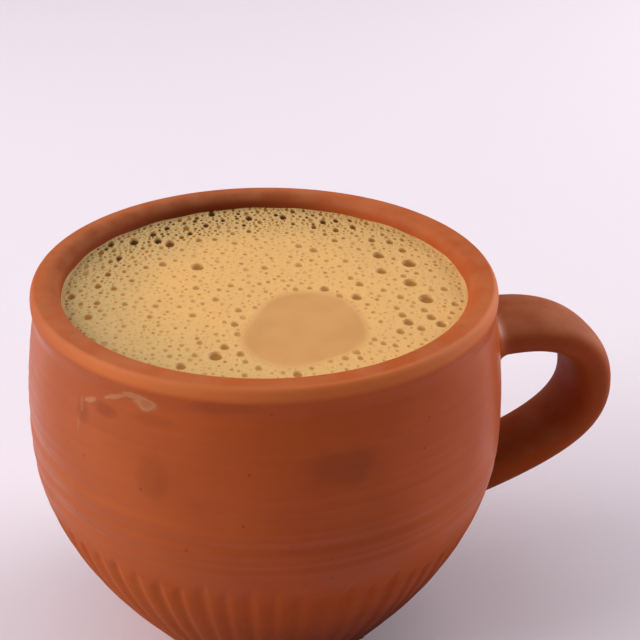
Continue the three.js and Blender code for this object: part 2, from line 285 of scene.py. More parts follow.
class FrothSettings(bpy.types.PropertyGroup):
    """The foam, its bubbles and the bare patch where the tea shows."""

    patch_x: length_property("Patch X", "Middle of the bare patch", 3)
    patch_y: length_property("Patch Y", "Middle of the bare patch", -17.9)
    patch_half_width: length_property("Patch half width", "Short half axis of the patch", 9.9)
    patch_half_depth: length_property("Patch half depth", "Long half axis of the patch", 13.1)
    patch_turn: angle_property("Patch turn", "Turn of the patch", -0.35)
    patch_dip: length_property("Patch dip", "How far the tea lies under the foam's top", 0.32)
    cells: IntProperty(name="Cells", description="Grid cells across the foam", default=520, min=20)
    seed: IntProperty(name="Seed", description="Seed of the bubbles' places", default=7)
    foam: colour_property("Foam", "Fine milk foam", "#dcab69")
    # Partly painted shade: foam towards the far-left wall is darkened with this colour, and it is coarser
    # there
    foam_dry_and_shaded: colour_property("Dry foam", "Coarser foam towards the far wall", "#b59b69")
    film: colour_property("Film", "Thin film over a bubble, with tea under it", "#a1692a")
    deep: colour_property("Deep bubble", "Open bubble with shade and tea at its bottom", "#3f2b12")
    tea: colour_property("Tea", "Milky tea", "#c9935b")


class StageSettings(bpy.types.PropertyGroup):
    """Floor, light and camera."""

    paper: colour_property("Paper", "Pale floor and backdrop", "#dfd5dd")
    focal_length: FloatProperty(
        name="Focal length", description="Lens, in mm on a 36 mm sensor", default=73.1
    )
    distance: length_property("Distance", "Camera's distance from the cup's axis", 220.2)
    height: length_property("Height", "Camera's height above the foot", 179.7)
    turn: angle_property("Turn", "How far the handle points away from the camera's side", math.radians(12.9))
    pitch: angle_property("Pitch", "How far the camera looks down", math.radians(27.54))
    yaw: angle_property("Yaw", "How far it looks past the axis", math.radians(2.69))
    roll: angle_property("Roll", "How far it leans", math.radians(0.64))


# Shapes


def smoothstep(t):
    """0 below 0 and 1 above 1, with a soft rise between."""
    s = np.clip(t, 0, 1)
    return s * s * (3 - 2 * s)


def in_mm(settings, *names):
    """Lengths of a group of settings, in mm."""
    return [getattr(settings, name) / MM for name in names]


def bowl_radius(cup, height):
    """Outer radius of the bowl at a height, without rings and flutes."""
    foot, belly, belly_h, neck, neck_h, lip = in_mm(
        cup, "foot_radius", "belly_radius", "belly_height", "neck_radius", "neck_height", "lip_radius"
    )
    lip_h = CUP_TOP - LIP_DROP
    height = np.asarray(height, float)
    low = np.clip(height / belly_h, 0, 1)
    swell = (1 - (1 - low) ** SWELL_UPPER) ** SWELL_LOWER
    high = np.clip((height - belly_h) / (neck_h - belly_h), 0, 1)
    rolled = smoothstep((height - neck_h) / (lip_h - neck_h))
    return foot + (belly - foot) * swell - (belly - neck) * high**2 + (lip - neck) * rolled


def inner_radius(cup, height):
    """Radius of the wall's inside at a height."""
    mouth, wall = in_mm(cup, "mouth_radius", "wall")
    blend = smoothstep((CUP_TOP - LIP_INNER_ROUND - height) / MOUTH_DEPTH)
    return mouth + (bowl_radius(cup, height) - wall - mouth) * blend


def bowl_outline(cup):
    """Radius and height of the wall's points from the foot up, over the lip and down inside.

    It also gives how many of them lie outside, below the lip.
    """
    lip, mouth = in_mm(cup, "lip_radius", "mouth_radius")
    outer_h = np.concatenate([
        np.linspace(FOOT_ROUND, 26, 46),
        np.linspace(26.4, CUP_TOP - LIP_DROP, 108),
    ])
    outer = np.stack([bowl_radius(cup, outer_h), outer_h], 1)
    foot_turn = np.radians(np.linspace(0, 75, 4))
    foot_r = bowl_radius(cup, FOOT_ROUND) - FOOT_ROUND * (1 - np.sin(foot_turn))
    foot = np.stack([foot_r, FOOT_ROUND * (1 - np.cos(foot_turn))], 1)
    over = np.radians(np.linspace(8, 90, 9))
    rim_outer = np.stack([
        lip - LIP_OUTER_ROUND * (1 - np.cos(over)),
        CUP_TOP - LIP_DROP * (1 - np.sin(over)),
    ], 1)
    into = np.radians(np.linspace(0, 90, 9))
    rim_inner = np.stack([
        mouth + LIP_INNER_ROUND * (1 - np.sin(into)),
        CUP_TOP - LIP_INNER_ROUND * (1 - np.cos(into)),
    ], 1)
    inner_h = np.linspace(CUP_TOP - LIP_INNER_ROUND - 3, INNER_FOOT_HEIGHT, 18)
    inner = np.stack([inner_radius(cup, inner_h), inner_h], 1)
    low = inner[-1, 0]
    base = np.array([[low - INNER_FOOT_ROUND, CUP_FLOOR + 1], [low * 0.5, CUP_FLOOR]])
    points = np.concatenate([foot, outer, rim_outer, rim_inner, inner, base])
    return points, len(foot) + len(outer)


def flute_scoop(cup, angle, height, rng):
    """How deep the flutes are at each point. They were cut by hand, so no two are quite alike."""
    count = cup.flute_count
    depth, top = in_mm(cup, "flute_depth", "flute_top")
    drift = 0.07 * rng.standard_normal(count)
    strength = rng.uniform(0.7, 1.15, count)
    around = np.arange(count) * 2 * math.pi / count
    tops = top + FLUTE_TILT_RISE * np.cos(around + FLUTE_TILT) + rng.uniform(-1.2, 1.2, count)
    place = np.mod((angle - FLUTE_TURN) / (2 * math.pi) * count, count)
    ridge = np.floor(place).astype(int) % count
    after = (ridge + 1) % count
    left = np.floor(place) + drift[ridge]
    right = np.floor(place) + 1 + drift[after]
    across = np.clip((place - left) / (right - left), 0, 1)
    hollow = np.sin(math.pi * across ** FLUTE_LEAN) ** 1.4
    start = tops[ridge] - FLUTE_START_DROP * (1 - across)
    up = smoothstep((start - height) / FLUTE_FADE)
    one_side = 0.78 + 0.22 * np.cos(angle - GROOVED_SIDE)
    return depth * strength[ridge] * hollow * up * one_side


def groove_relief(cup, angle, height, rng):
    """Grooves that the fingers left while the clay turned, and a wet sponge's trace."""
    relief = np.zeros_like(height)
    for middle, share, width in GROOVES:
        wander = 0.2 * np.sin(angle + rng.uniform(0, 6.28))
        wander += 0.1 * np.sin(3 * angle + rng.uniform(0, 6.28))
        fade = 1 + 0.35 * np.sin(2 * angle + rng.uniform(0, 6.28))
        relief -= share * fade * np.exp(-((height - middle - wander) / width) ** 2)
    fine = np.sin(height * 2.9 + 0.8 * np.sin(angle + 1)) + 0.6 * np.sin(height * 4.7 + np.sin(2 * angle))
    band = smoothstep((height - 37) / 3) * smoothstep((68 - height) / 5)
    one_side = 0.48 + 0.52 * np.cos(angle - GROOVED_SIDE)
    return cup.ring_depth / MM * (relief * one_side + 0.05 * fine) * band


def closed_grid(name, rings, first, last):
    """A closed mesh from rings of points, with a fan at each end."""
    rings = np.asarray(rings, float)
    rows, sides = rings.shape[:2]
    points = np.concatenate([rings.reshape(-1, 3), [first], [last]]) * MM
    k, i = np.meshgrid(np.arange(rows - 1), np.arange(sides), indexing="ij")
    j = (i + 1) % sides
    quads = np.stack([k * sides + i, k * sides + j, (k + 1) * sides + j, (k + 1) * sides + i], -1)
    faces = quads.reshape(-1, 4).tolist()
    end = (rows - 1) * sides
    for a in range(sides):
        b = (a + 1) % sides
        faces.append([rows * sides, b, a])
        faces.append([rows * sides + 1, end + a, end + b])
    mesh = bpy.data.meshes.new(name)
    mesh.from_pydata(points.tolist(), [], faces)
    mesh.polygons.foreach_set("use_smooth", np.ones(len(mesh.polygons), bool))
    return mesh


def make_object(name, mesh):
    """An object in the scene, from a mesh, a lamp or a camera."""
    obj = bpy.data.objects.new(name, mesh)
    bpy.context.scene.collection.objects.link(obj)
    return obj


def bowl_mesh(cup):
    """The thrown bowl as one closed skin, with its flutes and grooves, and not quite round."""
    rng = np.random.default_rng(CUP_SEED)
    outline, outer_to = bowl_outline(cup)
    angle = np.arange(CUP_SIDES) * 2 * math.pi / CUP_SIDES
    radius = np.repeat(outline[:, :1], CUP_SIDES, 1)
    height = np.repeat(outline[:, 1:], CUP_SIDES, 1)
    around = np.repeat(angle[None, :], len(outline), 0)
    rows = slice(0, outer_to)
    radius[rows] -= flute_scoop(cup, around[rows], height[rows], rng)
    radius[rows] += groove_relief(cup, around[rows], height[rows], rng)
    radius -= 0.12 + 0.12 * np.sin(2 * around + 0.7)
    rings = np.stack([radius * np.cos(around), radius * np.sin(around), height], -1)
    return closed_grid("bowl", rings, (0, 0, 0), (0, 0, CUP_FLOOR))


def bezier(points, t):
    """Points at t, from 0 to 1, on the smooth curve that four points pull."""
    a, b, c, d = [np.asarray(p, float) for p in points]
    t = np.asarray(t)[:, None]
    return a * (1 - t) ** 3 + 3 * b * t * (1 - t) ** 2 + 3 * c * t * t * (1 - t) + d * t**3


def handle_route(cup, handle, steps):
    """Even points of the strap's middle line, as distance from the axis and height, and its length."""
    reach, reach_h, top_h, bottom_h = in_mm(handle, "reach", "reach_height", "top_height", "bottom_height")
    top = np.array([bowl_radius(cup, top_h) - HANDLE_SUNK, top_h])
    bottom = np.array([bowl_radius(cup, bottom_h) - HANDLE_SUNK, bottom_h])
    top_pull = top + HANDLE_TOP_PULL * np.array([math.cos(HANDLE_TOP_RISE), math.sin(HANDLE_TOP_RISE)])
    bottom_way = np.array([math.cos(HANDLE_BOTTOM_RISE), math.sin(HANDLE_BOTTOM_RISE)])
    bottom_pull = bottom + HANDLE_BOTTOM_PULL * bottom_way
    t = np.linspace(0, 1, 400)
    far = (reach, reach_h)
    upper = bezier((top, top_pull, (reach, reach_h + HANDLE_UPPER_ROUND), far), t)
    lower = bezier((far, (reach, reach_h - HANDLE_LOWER_ROUND), bottom_pull, bottom), t)
    dense = np.concatenate([upper, lower[1:]])
    run = np.concatenate([[0], np.cumsum(np.hypot(*np.diff(dense, axis=0).T))])
    even = np.linspace(0, run[-1], steps + 1)
    return np.stack([np.interp(even, run, dense[:, k]) for k in (0, 1)], 1), run[-1]


def rounded(value):
    """Presses a sine or cosine outwards, which makes a circle a rounded square."""
    return np.sign(value) * np.abs(value) ** (2 / HANDLE_SQUARENESS)


def wall_direction(cup, height):
    """Which way the bowl's wall runs at a height."""
    rise = np.array([bowl_radius(cup, height + 0.5) - bowl_radius(cup, height - 0.5), 1.0])
    return rise / np.linalg.norm(rise)


def handle_mesh(cup, handle):
    """The strap as a stack of rounded sections that bend to follow the wall near each root."""
    middle, length = handle_route(cup, handle, HANDLE_STEPS)
    along = np.gradient(middle, axis=0)
    along /= np.linalg.norm(along, axis=1)[:, None]
    top_h, bottom_h, thickness, top_width, bottom_width, fillet = in_mm(
        handle, "top_height", "bottom_height", "thickness", "top_width", "bottom_width", "fillet"
    )
    turn = np.arange(HANDLE_SIDES) * 2 * math.pi / HANDLE_SIDES
    rings = []
    for i, share in enumerate(np.linspace(0, 1, HANDLE_STEPS + 1)):
        square = np.array([-along[i, 1], along[i, 0]])
        from_root = min(share, 1 - share) * length
        wall = wall_direction(cup, top_h if share < 0.5 else bottom_h)
        wall = wall * np.sign(wall @ square)
        clear = from_root - HANDLE_SUNK
        grip = 1 - smoothstep(clear / (HANDLE_GRIP * fillet))
        across = square * (1 - grip) + wall * grip
        across /= np.linalg.norm(across)
        s = min(max(clear, 0), fillet)
        swell = fillet - math.sqrt(fillet**2 - (fillet - s) ** 2)
        uneven = 1 + 0.012 * math.sin(7 * share + 1) + 0.01 * math.sin(17 * share)
        thick = (thickness / 2 * uneven + swell) / (across @ square) * rounded(np.cos(turn))
        width = top_width + (bottom_width - top_width) * share
        sideways = -(width / 2 + swell) * rounded(np.sin(turn))
        height = middle[i, 1] + across[1] * thick
        free = middle[i, 0] + across[0] * thick
        on_wall = np.sqrt(bowl_radius(cup, height) ** 2 - sideways**2) + clear * abs(along[i, 0])
        rings.append(np.stack([free + (on_wall - free) * grip, sideways, height], 1))
    return closed_grid("handle", rings, rings[0].mean(0), rings[-1].mean(0))


def join_solids(obj, other):
    """Joins other into obj as one closed skin and removes other."""
    union = obj.modifiers.new("join", "BOOLEAN")
    union.operation = "UNION"
    union.solver = "MANIFOLD"
    union.object = other
    depsgraph = bpy.context.evaluated_depsgraph_get()
    joined = bpy.data.meshes.new_from_object(obj.evaluated_get(depsgraph))
    obj.modifiers.clear()
    obj.data = joined
    bpy.data.objects.remove(other)


def patch_edge(angle):
    """The patch's soft uneven outline, as a share of its two half axes."""
    return 0.98 + 0.05 * np.cos(3 * angle + 0.6) + 0.03 * np.sin(2 * angle) + 0.025 * np.cos(5 * angle + 1.5)


def patch_distance(froth, x, y):
    """0 in the middle of the bare patch, 1 on its edge, larger outside."""
    px, py, wide, deep = in_mm(froth, "patch_x", "patch_y", "patch_half_width", "patch_half_depth")
    c, s = math.cos(froth.patch_turn), math.sin(froth.patch_turn)
    u = (c * (x - px) + s * (y - py)) / wide
    v = (-s * (x - px) + c * (y - py)) / deep
    return np.hypot(u, v) / patch_edge(np.arctan2(v, u))


def disc_grid(cells, radius):
    """Points of a square grid pressed into a disc, so that its cells stay even, with its quads and rim."""
    line = np.linspace(-1, 1, cells + 1)
    u, v = np.meshgrid(line, line, indexing="ij")
    x = radius * u * np.sqrt(1 - v * v / 2)
    y = radius * v * np.sqrt(1 - u * u / 2)
    n = cells + 1
    i, j = np.meshgrid(np.arange(cells), np.arange(cells), indexing="ij")
    quads = np.stack([i * n + j, (i + 1) * n + j, (i + 1) * n + j + 1, i * n + j + 1], -1).reshape(-1, 4)
    side = np.arange(cells)
    rim = np.concatenate([side * n, cells * n + side, (cells - side) * n + cells, cells - side])
    return x.ravel(), y.ravel(), quads, rim


def photo_to_froth(stage, across, down):
    """Where the sight through a photo pixel meets the foam's top, and the mm that a pixel takes there."""
    matrix = camera_matrix(stage)
    pixels = PHOTO_SIZE * stage.focal_length / SENSOR
    middle = PHOTO_SIZE / 2
    sight = matrix.to_3x3() @ Vector(((across - middle) / pixels, (middle - down) / pixels, -1))
    eye = matrix.translation / MM
    t = (FROTH_TOP - eye.z) / sight.z
    return eye.x + t * sight.x, eye.y + t * sight.y, t / pixels


def place_bubbles(froth, stage, radius):
    """All open bubbles as rows of x, y, radius and darkness, with the largest first."""
    rows = np.zeros((len(LARGE_BUBBLES) + sum(kind[0] for kind in BUBBLE_KINDS), 4))
    placed = 0
    for across, down, width in LARGE_BUBBLES:
        x, y, mm_per_pixel = photo_to_froth(stage, across, down)
        far = far_share(x, y, radius)
        # Near the far wall bubbles are painted darker, partly as painted shade and reflection of the wall
        dark = 0.35 + 0.16 * smoothstep((width - 7) / 5) + far
        rows[placed] = x, y, width * mm_per_pixel / 2 * (1.1 + 0.15 * far), dark
        placed += 1
    draw = random.Random(froth.seed)
    for count, small, large, spread, crowd in BUBBLE_KINDS:
        tries = 0
        end = placed + count
        while placed < end and tries < count * BUBBLE_TRIES:
            tries += 1
            angle = draw.uniform(0, 2 * math.pi)
            distance = (radius - 0.4) * math.sqrt(draw.random())
            size = small + (large - small) * draw.random() ** 1.6
            x, y = distance * math.cos(angle), distance * math.sin(angle)
            far = far_share(x, y, radius)
            if draw.random() > 1 - crowd * (1 - far):
                continue
            if patch_distance(froth, x, y) < 1.1 + size * 0.1 or distance > radius - size - 0.1:
                continue
            others = rows[:placed]
            gaps = np.hypot(others[:, 0] - x, others[:, 1] - y) - spread * (others[:, 2] + size)
            if gaps.min() < 0:
                continue
            # Near the far wall bubbles are painted darker, partly as painted shade and reflection of the wall
            dark = draw.uniform(0.12, 0.38) + far * draw.uniform(0.2, 0.9)
            rows[placed] = x, y, size, dark
            placed += 1
    return rows[:placed]


def far_share(x, y, radius):
    """1 along the far wall, where the coarsest and darkest bubbles gather, 0 towards the middle. The darkness
    there is partly painted shade and painted reflection of the dark wall.
    """
    near_wall = smoothstep((np.hypot(x, y) - radius + 17) / 13)
    return near_wall * (0.5 + 0.5 * np.cos(np.arctan2(y, x) - FAR_SIDE)) ** 3


def bin_of(place):
    """Number of the bin that a place along X or Y falls in."""
    return np.floor((place + BIN_START) / BIN_SIZE)


def froth_mesh(froth, cup, stage):
    """The foam as a closed sheet, with every bubble an open pit in its top.

    Its points keep how thin the film is, with a painted shadow line along the near wall, how foamy
    the top is and how dry the foam is, which also paints shade towards the far-left wall.
    """
    radius = cup.mouth_radius / MM
    x, y, quads, rim = disc_grid(froth.cells, radius + FOAM_OVERLAP)
    count = len(x)
    z = np.zeros(count)
    film = np.zeros(count)
    bins = bin_of(x) * BIN_ROWS + bin_of(y)
    order = np.argsort(bins, kind="stable")
    ordered = bins[order]
    for bx, by, size, darkness in place_bubbles(froth, stage, radius):
        here = bin_of(bx) * BIN_ROWS + bin_of(by)
        spans = [(here + step - 1, here + step + 2) for step in (-BIN_ROWS, 0, BIN_ROWS)]
        close = np.concatenate([order[slice(*np.searchsorted(ordered, span))] for span in spans])
        off_x, off_y = x[close] - bx, y[close] - by
        out = off_x * math.cos(STRETCH_SIDE) + off_y * math.sin(STRETCH_SIDE)
        level = off_y * math.cos(STRETCH_SIDE) - off_x * math.sin(STRETCH_SIDE)
        stretch = 1.15 + min(1.1 * size, 0.65) * smoothstep(1.8 * far_share(bx, by, radius))
        near = np.hypot(level, out / stretch) / size
        inside = close[near < 1.6]
        d = near[near < 1.6]
        pit = -(0.2 + 0.45 * darkness) * size * np.sqrt(np.clip(1 - d * d, 0, 1))
        rim_up = 0.07 * size * np.exp(-((d - 1.15) / 0.22) ** 2)
        z[inside] += pit + rim_up
        film[inside] = np.maximum(film[inside], darkness * smoothstep((1.15 - d) / 0.55))
    swell = 0.05 * (np.sin(x * 0.35 + 1) * np.sin(y * 0.29) + np.sin(x * 0.13 + y * 0.17))
    edge = patch_distance(froth, x, y)
    thick = smoothstep((edge - 0.96) / 0.24)
    wall = np.hypot(x, y)
    around = np.arctan2(y, x)
    uneven = 1 + 0.5 * np.sin(9 * around + 1) * np.sin(5 * around) + 0.4 * np.sin(23 * around)
    climb = 0.2 * uneven * np.exp(-((radius - wall) / 0.45))
    tea_level = FROTH_TOP - froth.patch_dip / MM
    sink = 0.05 * smoothstep((0.95 - edge) / 0.35) - 0.02
    foam_top = FROTH_TOP - FOAM_DROP + swell + z * thick
    top = (tea_level - sink) * (1 - thick) + foam_top * thick
    top = np.minimum(top, FROTH_TOP) + np.maximum(climb, 0) * thick
    top = np.maximum(top, FROTH_BOTTOM + 0.1)
    skirt = np.stack([x[rim], y[rim], np.full(len(rim), FROTH_BOTTOM)], 1)
    points = np.concatenate([np.stack([x, y, top], 1), skirt, [[0, 0, FROTH_BOTTOM]]]) * MM
    faces = quads.tolist()
    n = len(rim)
    for a in range(n):
        b = (a + 1) % n
        faces.append([int(rim[b]), int(rim[a]), count + a, count + b])
        faces.append([count + n, count + b, count + a])
    mesh = bpy.data.meshes.new("froth_layer")
    mesh.from_pydata(points.tolist(), [], faces)
    mesh.polygons.foreach_set("use_smooth", np.ones(len(mesh.polygons), bool))
    # Painted shadow: a thin darker line in the film where the foam meets the near wall
    near_wall = smoothstep((wall - radius + 0.9) / 0.8) * (0.5 - 0.5 * np.cos(around - FAR_SIDE)) ** 2
    film = np.maximum(film, 0.4 * near_wall)
    below = np.zeros(n + 1)
    # How dry the foam is, which also paints shade towards the far-left wall
    dry = smoothstep((wall - 0.4 * radius) / (0.6 * radius)) * (0.5 + 0.5 * np.cos(around - DRY_AND_SHADED_SIDE))
    store(mesh, "film", np.concatenate([film * thick, below]))
    store(mesh, "foamy", np.concatenate([smoothstep((edge - 0.98) / 0.26), below + 1]))
    store(mesh, "dry", np.concatenate([dry, below]))
    return mesh


def store(mesh, name, values):
    """Keeps a number for each of a mesh's points, for its material."""
    layer = mesh.attributes.new(name, "FLOAT", "POINT")
    layer.data.foreach_set("value", np.asarray(values, np.float32))


def tea_mesh(froth, cup):
    """The tea as one closed body: it fills the bowl and swells up to the bare patch."""
    base = CUP_FLOOR + 1 + TEA_FIT
    heights = np.array([base, INNER_FOOT_HEIGHT, 17, 28, 40, 52, 64, FROTH_BOTTOM - TEA_FIT])
    radii = inner_radius(cup, heights) - 2 * TEA_FIT
    radii[0] = inner_radius(cup, INNER_FOOT_HEIGHT) - INNER_FOOT_ROUND - TEA_FIT
    angle = np.arange(TEA_SIDES) * 2 * math.pi / TEA_SIDES
    level = np.ones(TEA_SIDES)
    rings = [np.stack([r * np.cos(angle), r * np.sin(angle), h * level], 1) for r, h in zip(radii, heights)]
    px, py, wide, deep = in_mm(froth, "patch_x", "patch_y", "patch_half_width", "patch_half_depth")
    c, s = math.cos(froth.patch_turn), math.sin(froth.patch_turn)
    top = FROTH_TOP - froth.patch_dip / MM
    edge = patch_edge(angle)
    rows = [(1.0, top - 0.7), (1.0, top - 0.15), (0.985, top - 0.02)]
    for grow, h in rows + [(grow, top) for grow in (0.96, 0.94, 0.92, 0.6, 0.2)]:
        u = wide * edge * grow * np.cos(angle)
        v = deep * edge * grow * np.sin(angle)
        rings.append(np.stack([px + c * u - s * v, py + s * u + c * v, h * level], 1))
    return closed_grid("tea_body", rings, (0, 0, base), (px, py, top))


# Materials

SMOOTH = {"interpolation_type": "SMOOTHSTEP"}
COLOURS = {"data_type": "RGBA"}


def add_node(tree, kind, inputs=(), out=0, **settings):
    """Adds a node with its settings and links, and gives one of its outputs.

    Inputs go by place, or by name or number in a dict. Each is a number, a colour or an output to link to.
    """
    node = tree.nodes.new("ShaderNode" + kind)
    for name, value in settings.items():
        setattr(node, name, value)
    for key, value in inputs.items() if isinstance(inputs, dict) else enumerate(inputs):
        socket = node.inputs[key]
        if isinstance(value, bpy.types.NodeSocket):
            tree.links.new(value, socket)
        elif socket.type == "RGBA":
            socket.default_value = (*value[:3], 1)
        else:
            socket.default_value = value
    return node.outputs[out] if node.outputs else None


def new_material(name):
    """A bare material, the function that adds nodes to it, and places on the object in mm."""
    material = bpy.data.materials.new(name)
    material.use_nodes = True
    material.node_tree.nodes.clear()
    add = functools.partial(add_node, material.node_tree)
    place = add("VectorMath", {0: add("TexCoord", out="Object"), "Scale": 1 / MM}, operation="SCALE")
    return material, add, place


def side(add, place, angle, low, high):
    """0 to 1 across the cup towards a side of it, between two distances from the axis."""
    towards = (math.cos(angle), math.sin(angle), 0)
    along = add("VectorMath", (place, towards), "Value", operation="DOT_PRODUCT")
    return add("MapRange", (along, low, high), **SMOOTH)


def mark(add, place, cup, oval, ragged, size):
    """Below 1 inside an oval mark on the bowl's outside, above 1 elsewhere, with a ragged edge."""
    angle, height, wide, tall, lean = oval
    turn = math.radians(angle)
    radius = float(bowl_radius(cup, height))
    local = add("Mapping", {
        "Vector": place, "Location": (radius * math.cos(turn), radius * math.sin(turn), height),
        "Rotation": (math.radians(lean), 0, turn), "Scale": (MARK_REACH, wide, tall),
    }, vector_type="TEXTURE")
    length = add("VectorMath", (local,), "Value", operation="LENGTH")
    torn = add("TexNoise", {"Vector": place, "Scale": 1 / size, "Detail": 3})
    torn = add("Math", (torn, 0.5), operation="SUBTRACT")
    return add("Math", (torn, ragged, length), operation="MULTIPLY_ADD")


def marked_clay(add, place, cup, colour):
    """A colour with the damp marks, the specks of grog and the pale crust on it."""
    layers = []
    for *oval, strength in DAMP_MARKS:
        damp = mark(add, place, cup, (*oval, 0), ragged=0.9, size=4)
        layers.append((add("MapRange", (damp, 0.45, 1.35, strength, 0), **SMOOTH), cup.clay_damp_and_shade))
    grit = add("TexVoronoi", {"Vector": place, "Scale": 1 / GROG_SPACING, "Randomness": 1})
    layers.append((add("MapRange", (grit, 0.04, 0.06, 0.5, 0), **SMOOTH), cup.grog))
    crust = 0.0
    for *oval, strength, hollow in PALE_MARKS:
        torn = mark(add, place, cup, oval, ragged=1.3, size=1.4)
        outer = add("MapRange", (torn, 0.6, 1.2, strength, 0), **SMOOTH)
        inner = add("MapRange", (torn, 0.3, 0.85, hollow, 0), **SMOOTH)
        left = add("Math", (outer, inner), operation="SUBTRACT")
        crust = add("Math", (crust, left), operation="MAXIMUM")
    layers.append((crust, cup.scuff))
    for share, tint in layers:
        colour = add("Mix", {0: share, 6: colour, 7: tint}, 2, **COLOURS)
    return colour


def terracotta(cup):
    """Terracotta: iron-red clay thrown on a wheel, burnished and fired without glaze.

    The burnish gives a dull satin gleam, strongest at a glance. Smoke in the kiln leaves dull darker
    clouds, and grog shows as rare dark specks. Painted shade darkens the bowl low down on the side away
    from the key light, the handle and the inside of the far lip. Painted sheen pales the lit side, the
    upward faces and the inside of the lip by the handle, and a painted highlight runs along the lip's
    near outer edge. A damp finger left two dark ovals on the belly, and something pale and dry was
    rubbed off on the shoulder. The flutes were scraped after the burnish, so they are matt.
    """
    material, add, place = new_material("burnished_terracotta")
    mouth, lip = in_mm(cup, "mouth_radius", "lip_radius")
    height = add("SeparateXYZ", (place,), "Z")
    flat = add("VectorMath", (place, (1, 1, 0)), operation="MULTIPLY")
    from_axis = add("VectorMath", (flat,), "Value", operation="LENGTH")
    smudges = add("TexNoise", {"Vector": place, "Scale": 1 / SMUDGE_SPACING, "Detail": 3})
    wavy = add("Math", (smudges, 10, height), operation="MULTIPLY_ADD")

    # Clouds of the firing, painted shade low down away from the key light and on the handle, painted
    # sheen on the lit side, and painted shade inside the far lip
    clouds = add("TexNoise", {"Vector": place, "Scale": 1 / CLOUD_SPACING, "Detail": 4})
    clouds = add("MapRange", (clouds, 0.3, 0.7), **SMOOTH)
    # Painted shade: darker clay low down, on the side turned from the key light
    side_turned_from_key = side(add, place, SHADED_SIDE, -15, 25)
    low_down = add("MapRange", (wavy, 12, 44, 1, 0), **SMOOTH)
    painted_shade = add("Math", (low_down, side_turned_from_key), operation="MULTIPLY")
    # Painted shade on the handle
    on_handle = side(add, place, HANDLE_SIDE, 40, 49)
    handle_shade = add("Math", (on_handle, HANDLE_SHADE), operation="MULTIPLY")
    painted_shade = add("Math", (painted_shade, handle_shade), operation="MAXIMUM")
    # Painted sheen: paler clay on the lit side
    lit_side_sheen = add("Math", (side_turned_from_key, -LIT_SIDE_SHEEN, LIT_SIDE_SHEEN), operation="MULTIPLY_ADD")
    # Painted shade inside the far lip. The same mask brings painted sheen inside the lip by the handle
    inside = add("MapRange", (from_axis, mouth + 0.4, mouth + 4.5, INSIDE_SHADE_AND_SHEEN, 0), **SMOOTH)
    far_lip_shade = add("Math", (inside, side(add, place, FAR_LIP_SIDE, 8, 34)), operation="MULTIPLY")
    colour = cup.clay
    for share, tint in (
        (clouds, cup.clay_dark), (painted_shade, cup.clay_damp_and_shade), (lit_side_sheen, cup.clay_sheen), (far_lip_shade, cup.clay_damp_and_shade)
    ):
        colour = add("Mix", {0: share, 6: colour, 7: tint}, 2, **COLOURS)

    # Streaks that the wet hand drew, 22 times as long as they are apart, and the marks on top
    along = 1 / (STREAK_LENGTH * STREAK_SPACING)
    spread = add("VectorMath", (place, (along, along, 1 / STREAK_SPACING)), operation="MULTIPLY")
    streaks = add("TexNoise", {"Vector": spread, "Scale": 1, "Detail": 4, "Roughness": 0.55})
    tone = add("MapRange", (streaks, 0.3, 0.7, 0.97, 1.03), **SMOOTH)
    grey = add("CombineColor", (tone, tone, tone))
    colour = add("Mix", {0: 0.8, 6: colour, 7: grey}, 2, blend_type="MULTIPLY", **COLOURS)
    colour = marked_clay(add, place, cup, colour)

    # Painted sheen: paler clay on upward faces and inside the lip by the handle, broken up by noise, and a
    # painted highlight along the lip's near outer edge
    upward = add("SeparateXYZ", (add("NewGeometry", out="Normal"),), "Z")
    upward = add("MapRange", (upward, 0.1, 0.8), **SMOOTH)
    inside_sheen = add("Math", (inside, side(add, place, HANDLE_SIDE, 22, 36)), operation="MULTIPLY")
    sheen_place = add("Math", (upward, inside_sheen), operation="MAXIMUM")
    # Noise that breaks up the painted sheen
    rubbed = add("TexNoise", {"Vector": place, "Scale": 1 / SHEEN_SPACING, "Detail": 4})
    rubbed = add("MapRange", (rubbed, 0.3, 0.7, 0.08, 0.32), **SMOOTH)
    painted_sheen = add("Math", (sheen_place, rubbed), operation="MULTIPLY")
    colour = add("Mix", {0: painted_sheen, 6: colour, 7: cup.clay_sheen}, 2, **COLOURS)
    # Painted highlight along the lip's near outer edge
    outermost = add("MapRange", (from_axis, lip - 1.5, lip - 0.7), **SMOOTH)
    near_side = side(add, place, FAR_LIP_SIDE + math.pi, -25, 15)
    edge = add("Math", (outermost, near_side), operation="MULTIPLY")
    high_up = add("MapRange", (height, CUP_TOP - 3, CUP_TOP - 1.6, 0, 0.6), **SMOOTH)
    edge = add("Math", (edge, high_up), operation="MULTIPLY")
    colour = add("Mix", {0: edge, 6: colour, 7: cup.clay_lip_highlight}, 2, **COLOURS)

